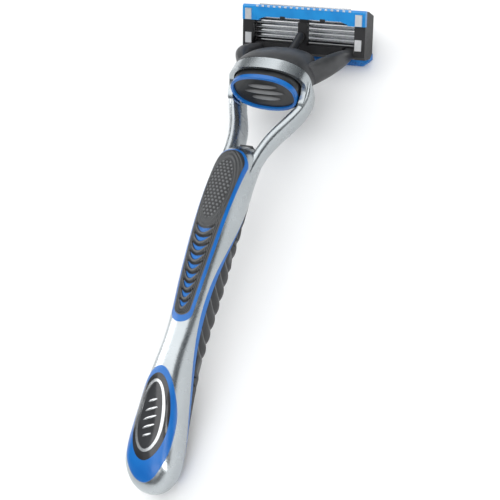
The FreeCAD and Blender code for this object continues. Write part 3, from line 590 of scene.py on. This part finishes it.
def button_face():
    """The soft ridged face of the eject button."""
    upward = ACROSS.cross(DOCK)
    start, end = reach("button_pad", upward)
    side = reach("button_pad", ACROSS)[1]
    plane = reach("button_pad", -DOCK)[1] - FACE_SINK * MM
    middle = (start + end) / 2
    half_height = (end - start) / 2
    rows, tones = [], []
    for n in range(FACE_ROWS):
        rise = -half_height * math.cos(math.pi * (n + 0.5) / FACE_ROWS)
        half = side * (1 - abs(rise / half_height) ** OVAL_POWER) ** (1 / OVAL_POWER)
        row, tone_row = [], []
        for m in range(FACE_COLUMNS + 1):
            across = half * (-1 + 2 * m / FACE_COLUMNS)
            height, tone = button_relief(across / MM, rise / MM, half_height / MM)
            row.append(ACROSS * across + upward * (middle + rise) - DOCK * (plane + height * MM))
            tone_row.append(tone)
        rows.append(row)
        tones.append(tone_row)
    rubber = surface("button elastomer", (0.010, 0.0105, 0.0115), (0.018, 0.0185, 0.02), 0.34,
                     coat=0.2, grain=8.0)
    # the grey tint lays the painted highlight on the lenses
    return sheet_piece("button_face", rows, tones, DOCK * 0.5 * MM,
                       toned(rubber, (BLUE, (0.26, 0.265, 0.27))),
                       "eject_button", ("button_pad",))


# ---------------------------------------------------------------- cartridge details

FIN_PITCH = 0.9
FIN_SLANT = 0.9
FIN_HEIGHT = 0.17
FIN_MARGIN = 0.4
COMB_TEETH = 17
COMB_HALF_LENGTH = 15.2
COMB_TOOTH = (0.75, 0.5, 0.26)      # across, over the edge, out of the back
TAB_PLACE = 6.6
TAB_SIZE = (1.7, 0.8, 0.3)


def guard_relief(across, place, half, _length):
    """Fine slanting fins along the guard."""
    wave = math.sin(2 * math.pi * (across - FIN_SLANT * place) / FIN_PITCH)
    inside = abs(across) < half - FIN_MARGIN
    return FIN_HEIGHT * max(0.0, wave) * inside, (0.0, 0.0)


def guard_fins():
    """The finned lower face of the guard."""
    return drape("guard_fins", "guard", EDGE, BACK, guard_relief, (26, 420), 0.4,
                 MATERIALS["guard_elastomer"], "cartridge")


def small_blocks(name, centres, sizes, rounding, slot):
    """Rounded blocks of one size, square to the cartridge's own directions."""
    bm = bmesh.new()
    axes = [axis * extent * MM for axis, extent in zip((ACROSS, EDGE, BACK), sizes)]
    turn = Matrix(axes).transposed().to_4x4()
    for centre in centres:
        bmesh.ops.create_cube(bm, size=1.0, matrix=Matrix.Translation(centre) @ turn)
    bmesh.ops.bevel(bm, geom=bm.edges[:], offset=rounding * MM, segments=2, profile=0.5,
                    affect="EDGES", material=-1)
    return finish_piece(name, bm, MATERIALS[slot], "cartridge")


def cap_details():
    """The comb along the cap's top edge and two small dark tabs at its lower edge."""
    low, high = reach("trimmer_cap", EDGE)
    top = reach("trimmer_cap", BACK)[1]
    comb_line = EDGE * (high - 0.35 * MM) + BACK * (top - 0.05 * MM)
    step = 2 * COMB_HALF_LENGTH / (COMB_TEETH - 1)
    teeth = [comb_line + ACROSS * (n * step - COMB_HALF_LENGTH) * MM for n in range(COMB_TEETH)]
    small_blocks("cap_comb", teeth, COMB_TOOTH, 0.06, "clip_metal")
    tab_line = EDGE * (low + 1.1 * MM) + BACK * (top - 0.02 * MM)
    tabs = [tab_line + ACROSS * across * MM for across in (-TAB_PLACE, TAB_PLACE)]
    small_blocks("cap_tabs", tabs, TAB_SIZE, 0.1, "black_plastic")


# ---------------------------------------------------------------- table, lights and camera

TABLE_HALF = 3.0
TABLE_GAP = 0.0002
ROOM_STRENGTH = 0.5
ROOM_LOW = (0.16, 0.175, 0.19)
ROOM_HIGH = (0.80, 0.84, 0.87)

# Each softbox: its place, width, height and power in watts.
SOFTBOXES = {
    "overhead": ((0.05, 0.05, 0.7), 1.1, 1.1, 5.0),
    "tail_side": ((0.15, -0.65, 0.45), 0.5, 0.35, 1.3),
    "head_side": ((-0.35, 0.55, 0.5), 0.6, 0.4, 1.0),
    "left_side": ((-0.6, 0.1, 0.35), 0.3, 0.6, 1.8),
    "right_side": ((0.55, -0.35, 0.3), 0.15, 0.5, 1.6),
}

EYE_AZIMUTH = -34.4      # degrees from +X, seen from above
EYE_ELEVATION = 57.0     # degrees above the table
EYE_ROLL = -40.6         # degrees that the picture's level line tilts
EYE_DISTANCE = 0.3       # metres from the point looked at
EYE_TARGET = (0.0086, -0.0054, 0.012)
EYE_LENS = 78.9          # focal length in millimetres on a 36 mm sensor


def table_top():
    """A plain pale table under the razor."""
    bm = bmesh.new()
    bmesh.ops.create_grid(bm, x_segments=1, y_segments=1, size=TABLE_HALF,
                          matrix=Matrix.Translation((0, 0, CAD_LOW.z - TABLE_GAP)))
    mesh = bpy.data.meshes.new("table_top")
    bm.to_mesh(mesh)
    bm.free()
    floor = bpy.data.objects.new("table_top", mesh)
    bpy.context.scene.collection.objects.link(floor)
    mesh.materials.append(surface("pale table", (0.86, 0.86, 0.86), (0.9, 0.9, 0.9), 0.7,
                                  mottle=0.01, grain=0.5))


def softbox(name, place, width, height, power):
    """A soft rectangular studio light that faces the razor."""
    data = bpy.data.lights.new(name, "AREA")
    data.shape = "RECTANGLE"
    data.size = width
    data.size_y = height
    data.energy = power
    lamp = bpy.data.objects.new(name, data)
    lamp.location = place
    lamp.rotation_euler = (-Vector(place)).to_track_quat("-Z", "Y").to_euler()
    bpy.context.scene.collection.objects.link(lamp)


def studio():
    """Soft light from above and the sides, in a room that darkens towards its walls."""
    world = bpy.data.worlds.new("room")
    world.use_nodes = True
    tree = world.node_tree
    place = tree.nodes.new("ShaderNodeTexCoord")
    split = tree.nodes.new("ShaderNodeSeparateXYZ")
    tree.links.new(place.outputs["Generated"], split.inputs["Vector"])
    tone = ramp(tree, split.outputs["Z"], ROOM_LOW, ROOM_HIGH, 0.12, 0.8)
    background = tree.nodes["Background"]
    tree.links.new(tone, background.inputs["Color"])
    background.inputs["Strength"].default_value = ROOM_STRENGTH
    bpy.context.scene.world = world
    for name, settings in SOFTBOXES.items():
        softbox(name, *settings)
    bpy.context.scene.view_settings.view_transform = "Standard"


def camera():
    """Looking down at the razor from over its tail, with the head up and to the right."""
    data = bpy.data.cameras.new("camera")
    data.lens = EYE_LENS
    data.sensor_width = 36.0
    data.clip_start = 0.01
    azimuth = math.radians(EYE_AZIMUTH)
    elevation = math.radians(EYE_ELEVATION)
    roll = math.radians(EYE_ROLL)
    level = Vector((-math.sin(azimuth), math.cos(azimuth), 0))
    back = Vector((math.cos(azimuth), math.sin(azimuth), 0)) * math.cos(elevation)
    back += UP * math.sin(elevation)
    right = level * math.cos(roll) + back.cross(level) * math.sin(roll)
    turn = Matrix((right, back.cross(right), back)).transposed().to_4x4()
    eye = bpy.data.objects.new("camera", data)
    eye.matrix_world = Matrix.Translation(Vector(EYE_TARGET) + back * EYE_DISTANCE) @ turn
    bpy.context.scene.collection.objects.link(eye)
    bpy.context.scene.camera = eye


dress_nodes()
soften("cartridge_frame", 0.25, 3)
soften("trimmer_cap", 0.12)
for name in ("retaining_clip_left", "retaining_clip_right"):
    soften(name, 0.08)
thumb_pad()
rear_sleeve()
badge_motif()
button_face()
guard_fins()
cap_details()
table_top()
studio()
camera()
